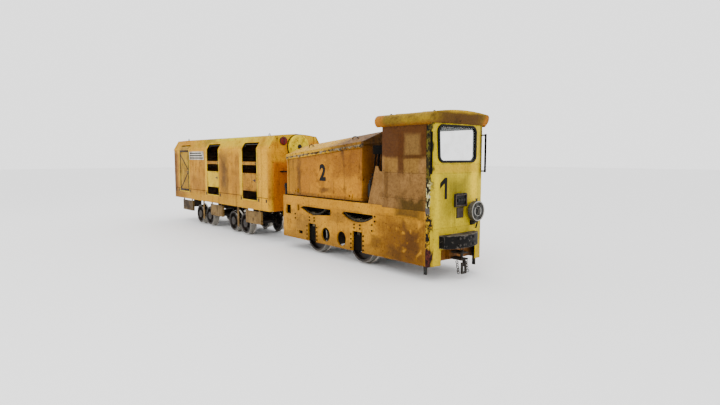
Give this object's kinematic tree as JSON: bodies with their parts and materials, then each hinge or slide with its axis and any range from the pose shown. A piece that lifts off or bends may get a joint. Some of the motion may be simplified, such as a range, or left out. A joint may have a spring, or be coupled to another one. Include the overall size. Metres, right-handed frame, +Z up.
{
  "type": "mine locomotive with man-riding car",
  "caption": "Narrow-gauge battery mine locomotive with a boxy cab, coupled by a drawbar to a four-axle man-riding car with side doorways.",
  "frame": {"origin": "on the plane under the wheel flanges, midway along the train's length and on its centre line", "axes": "+X towards the driving cab's front, +Y to the train's left, +Z up"},
  "size_m": [8.0298, 1.05, 1.9549],
  "materials": {
    "ochre_paint": "weathered ochre paint with rust streaks",
    "yellow_paint": "weathered yellow paint",
    "frame_paint": "black paint worn to grey and rust",
    "rolling_steel": "rolled steel, bright on the treads",
    "cast_iron": "greasy cast iron",
    "glass": "clear",
    "lamp_glass": "ribbed clear",
    "red_glass": "deep red lens",
    "seal_rubber": "matt black",
    "cushion_leather": "worn black",
    "cell_plastic": "dark plastic",
    "bench_wood": "worn painted boards"
  },
  "bodies": {
    "loco": {"frame_side_plates": "ochre_paint", "cross_members": "frame_paint", "frame_decks": "frame_paint", "frame_bolts": "ochre_paint", "loco_axleboxes": "cast_iron", "leaf_springs": "rolling_steel", "traction_motors": "cast_iron", "gear_cases": "frame_paint", "cab_walls": "ochre_paint", "cab_front_panel": "yellow_paint", "window_seal": "seal_rubber", "cab_glass": "glass", "cab_roof": "yellow_paint", "cab_handrails": "frame_paint", "seat_frame": "frame_paint", "seat_cushions": "cushion_leather", "driver_controls": "frame_paint", "front_bumper": "frame_paint", "front_fittings": "frame_paint", "headlamp_body": "cast_iron", "headlamp_lens": "lamp_glass", "loco_drawheads": "frame_paint"},
    "loco_wheelset_rear": {"loco_wheelset_rear": "rolling_steel"},
    "loco_wheelset_front": {"loco_wheelset_front": "rolling_steel"},
    "motor_pinion_rear": {"motor_pinion_rear": "rolling_steel"},
    "motor_pinion_front": {"motor_pinion_front": "rolling_steel"},
    "brake_rigging_rear": {"brake_rigging_rear": "cast_iron"},
    "brake_rigging_front": {"brake_rigging_front": "cast_iron"},
    "brake_handwheel": {"brake_handwheel": "cast_iron"},
    "controller_handle": {"controller_handle": "cell_plastic"},
    "coupling_pin": {"coupling_pin": "rolling_steel"},
    "hanging_link": {"hanging_link": "rolling_steel"},
    "battery": {"battery_box": "ochre_paint", "battery_cells": "cell_plastic", "battery_connector": "frame_paint"},
    "battery_lid": {"battery_lid": "ochre_paint"},
    "drawbar": {"drawbar": "rolling_steel"},
    "car": {"car_side_walls": "yellow_paint", "car_end_walls": "yellow_paint", "car_roof": "yellow_paint", "car_underframe": "frame_paint", "bogie_centre_sockets": "frame_paint", "car_bulkheads": "frame_paint", "car_benches": "bench_wood", "car_steps": "ochre_paint", "marker_lamp": "red_glass", "car_end_fittings": "yellow_paint", "rear_bumper": "frame_paint", "car_drawheads": "frame_paint"},
    "guard_door": {"guard_door": "yellow_paint"},
    "half_door_middle": {"half_door_middle": "yellow_paint"},
    "half_door_front": {"half_door_front": "ochre_paint"},
    "safety_bar_middle": {"safety_bar_middle": "ochre_paint"},
    "safety_bar_front": {"safety_bar_front": "ochre_paint"},
    "bogie_front": {"bogie_frame_front": "frame_paint"},
    "bogie_rear": {"bogie_frame_rear": "frame_paint"},
    "car_wheelset_front_1": {"car_wheelset_front_1": "rolling_steel"},
    "car_wheelset_front_2": {"car_wheelset_front_2": "rolling_steel"},
    "car_wheelset_rear_1": {"car_wheelset_rear_1": "rolling_steel"},
    "car_wheelset_rear_2": {"car_wheelset_rear_2": "rolling_steel"}
  },
  "joints": [
    {"name": "loco_wheelset_rear_spin", "type": "hinge", "parent": "loco", "child": "loco_wheelset_rear", "pos_m": [1.54, 0, 0.275], "axis": [0, 1, 0], "continuous": true},
    {"name": "loco_wheelset_front_spin", "type": "hinge", "parent": "loco", "child": "loco_wheelset_front", "pos_m": [2.58, 0, 0.275], "axis": [0, 1, 0], "continuous": true},
    {"name": "motor_pinion_rear_spin", "type": "hinge", "parent": "loco", "child": "motor_pinion_rear", "pos_m": [1.778, 0, 0.275], "axis": [0, 1, 0], "continuous": true},
    {"name": "motor_pinion_front_spin", "type": "hinge", "parent": "loco", "child": "motor_pinion_front", "pos_m": [2.342, 0, 0.275], "axis": [0, 1, 0], "continuous": true},
    {"name": "brake_rear_swing", "type": "hinge", "parent": "loco", "child": "brake_rigging_rear", "pos_m": [1.86, 0, 0.62], "axis": [0, 1, 0], "range_deg": [0, 0.7]},
    {"name": "brake_front_swing", "type": "hinge", "parent": "loco", "child": "brake_rigging_front", "pos_m": [2.26, 0, 0.62], "axis": [0, -1, 0], "range_deg": [0, 0.7]},
    {"name": "brake_handwheel_turn", "type": "hinge", "parent": "loco", "child": "brake_handwheel", "pos_m": [3.64, 0.23, 1.13], "axis": [0, 0, 1], "range_deg": [0, 690]},
    {"name": "controller_turn", "type": "hinge", "parent": "loco", "child": "controller_handle", "pos_m": [3.66, -0.3, 1.2], "axis": [0, 0, 1], "range_deg": [-60, 60]},
    {"name": "coupling_pin_lift", "type": "slide", "parent": "loco", "child": "coupling_pin", "axis": [0, 0, 1], "range_m": [0, 0.11]},
    {"name": "hanging_link_swing", "type": "hinge", "parent": "loco", "child": "hanging_link", "pos_m": [3.962, 0, 0.18], "axis": [0, 1, 0], "range_deg": [-75, 30]},
    {"name": "battery_lift", "type": "slide", "parent": "loco", "child": "battery", "axis": [0, 0, 1], "range_m": [0, 0.8]},
    {"name": "battery_lid_open", "type": "hinge", "parent": "battery", "child": "battery_lid", "pos_m": [0.866, 0.49, 1.40974], "axis": [-0.996, 0, -0.0898], "range_deg": [0, 75]},
    {"name": "drawbar_yaw", "type": "hinge", "parent": "loco", "child": "drawbar", "pos_m": [0.7, 0, 0.32], "axis": [0, 0, 1], "range_deg": [-10, 10]},
    {"name": "car_yaw", "type": "hinge", "parent": "drawbar", "child": "car", "pos_m": [0.467, 0, 0.32], "axis": [0, 0, 1], "range_deg": [-12, 12]},
    {"name": "guard_door_open", "type": "hinge", "parent": "car", "child": "guard_door", "pos_m": [-3.493, -0.515, 1.12], "axis": [0, 0, -1], "range_deg": [0, 100]},
    {"name": "half_door_middle_open", "type": "hinge", "parent": "car", "child": "half_door_middle", "pos_m": [-2.028, -0.515, 0.99], "axis": [0, 0, -1], "range_deg": [0, 100]},
    {"name": "half_door_front_open", "type": "hinge", "parent": "car", "child": "half_door_front", "pos_m": [-0.523, -0.515, 0.99], "axis": [0, 0, -1], "range_deg": [0, 100]},
    {"name": "safety_bar_middle_open", "type": "hinge", "parent": "car", "child": "safety_bar_middle", "pos_m": [-2.028, -0.515, 1.31], "axis": [0, 0, -1], "range_deg": [0, 100]},
    {"name": "safety_bar_front_open", "type": "hinge", "parent": "car", "child": "safety_bar_front", "pos_m": [-0.523, -0.515, 1.31], "axis": [0, 0, -1], "range_deg": [0, 100]},
    {"name": "bogie_front_yaw", "type": "hinge", "parent": "car", "child": "bogie_front", "pos_m": [-0.955, 0, 0.44], "axis": [0, 0, 1], "range_deg": [-4, 4]},
    {"name": "bogie_rear_yaw", "type": "hinge", "parent": "car", "child": "bogie_rear", "pos_m": [-2.515, 0, 0.44], "axis": [0, 0, 1], "range_deg": [-4, 4]},
    {"name": "car_wheelset_front_1_spin", "type": "hinge", "parent": "bogie_front", "child": "car_wheelset_front_1", "pos_m": [-1.195, 0, 0.215], "axis": [0, 1, 0], "continuous": true},
    {"name": "car_wheelset_front_2_spin", "type": "hinge", "parent": "bogie_front", "child": "car_wheelset_front_2", "pos_m": [-0.715, 0, 0.215], "axis": [0, 1, 0], "continuous": true},
    {"name": "car_wheelset_rear_1_spin", "type": "hinge", "parent": "bogie_rear", "child": "car_wheelset_rear_1", "pos_m": [-2.755, 0, 0.215], "axis": [0, 1, 0], "continuous": true},
    {"name": "car_wheelset_rear_2_spin", "type": "hinge", "parent": "bogie_rear", "child": "car_wheelset_rear_2", "pos_m": [-2.275, 0, 0.215], "axis": [0, 1, 0], "continuous": true}
  ],
  "couplings": [
    {"joint": "motor_pinion_rear_spin", "follows": "loco_wheelset_rear_spin", "ratio": -3},
    {"joint": "motor_pinion_front_spin", "follows": "loco_wheelset_front_spin", "ratio": -3},
    {"joint": "brake_rear_swing", "follows": "brake_handwheel_turn", "ratio": 0.00101},
    {"joint": "brake_front_swing", "follows": "brake_handwheel_turn", "ratio": 0.00101}
  ]
}
